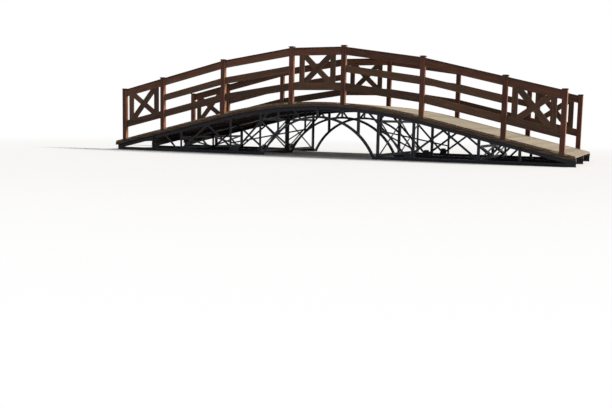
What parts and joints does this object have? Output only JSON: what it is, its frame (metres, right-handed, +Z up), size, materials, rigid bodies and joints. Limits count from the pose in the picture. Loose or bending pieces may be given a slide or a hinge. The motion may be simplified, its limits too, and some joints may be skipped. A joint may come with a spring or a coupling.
{
  "type": "arched timber footbridge on steel girders",
  "caption": "Arched timber footbridge with braced post-and-rail parapets, a boarded deck and steel trussed arch girders below.",
  "frame": {"origin": "middle of the span, on the level plane that the steel bottom chords rest on", "axes": "+X along the bridge, +Y across it, +Z up"},
  "size_m": [9.96, 2.889, 2.2132],
  "materials": {
    "stained_posts": "red-brown stain, weathered",
    "stained_rails": "brown stain, weathered",
    "deck_boards": "bare boards, weathered pale",
    "bearer_timber": "sawn timber, damp and dark",
    "painted_steel": "dark blue-grey paint"
  },
  "bodies": {
    "root": {"front_post_1": "stained_posts", "front_post_2": "stained_posts", "front_post_3": "stained_posts", "front_post_4": "stained_posts", "front_post_5": "stained_posts", "front_post_6": "stained_posts", "front_post_7": "stained_posts", "front_post_8": "stained_posts", "front_railing_1": "stained_rails", "front_railing_2": "stained_rails", "front_railing_3": "stained_rails", "front_railing_4": "stained_rails", "front_railing_5": "stained_rails", "front_railing_6": "stained_rails", "front_railing_7": "stained_rails", "rear_post_1": "stained_posts", "rear_post_2": "stained_posts", "rear_post_3": "stained_posts", "rear_post_4": "stained_posts", "rear_post_5": "stained_posts", "rear_post_6": "stained_posts", "rear_post_7": "stained_posts", "rear_post_8": "stained_posts", "rear_railing_1": "stained_rails", "rear_railing_2": "stained_rails", "rear_railing_3": "stained_rails", "rear_railing_4": "stained_rails", "rear_railing_5": "stained_rails", "rear_railing_6": "stained_rails", "rear_railing_7": "stained_rails", "deck": "deck_boards", "front_bearer": "bearer_timber", "centre_bearer": "bearer_timber", "rear_bearer": "bearer_timber", "front_left_top_chord": "painted_steel", "front_right_top_chord": "painted_steel", "front_left_arch": "painted_steel", "front_right_arch": "painted_steel", "front_left_truss": "painted_steel", "front_right_truss": "painted_steel", "middle_left_top_chord": "painted_steel", "middle_right_top_chord": "painted_steel", "middle_left_arch": "painted_steel", "middle_right_arch": "painted_steel", "middle_left_truss": "painted_steel", "middle_right_truss": "painted_steel", "rear_left_top_chord": "painted_steel", "rear_right_top_chord": "painted_steel", "rear_left_arch": "painted_steel", "rear_right_arch": "painted_steel", "rear_left_truss": "painted_steel", "rear_right_truss": "painted_steel", "cross_frame_1": "painted_steel", "cross_frame_2": "painted_steel", "cross_frame_3": "painted_steel", "cross_frame_4": "painted_steel", "lateral_struts": "painted_steel"}
  },
  "joints": []
}
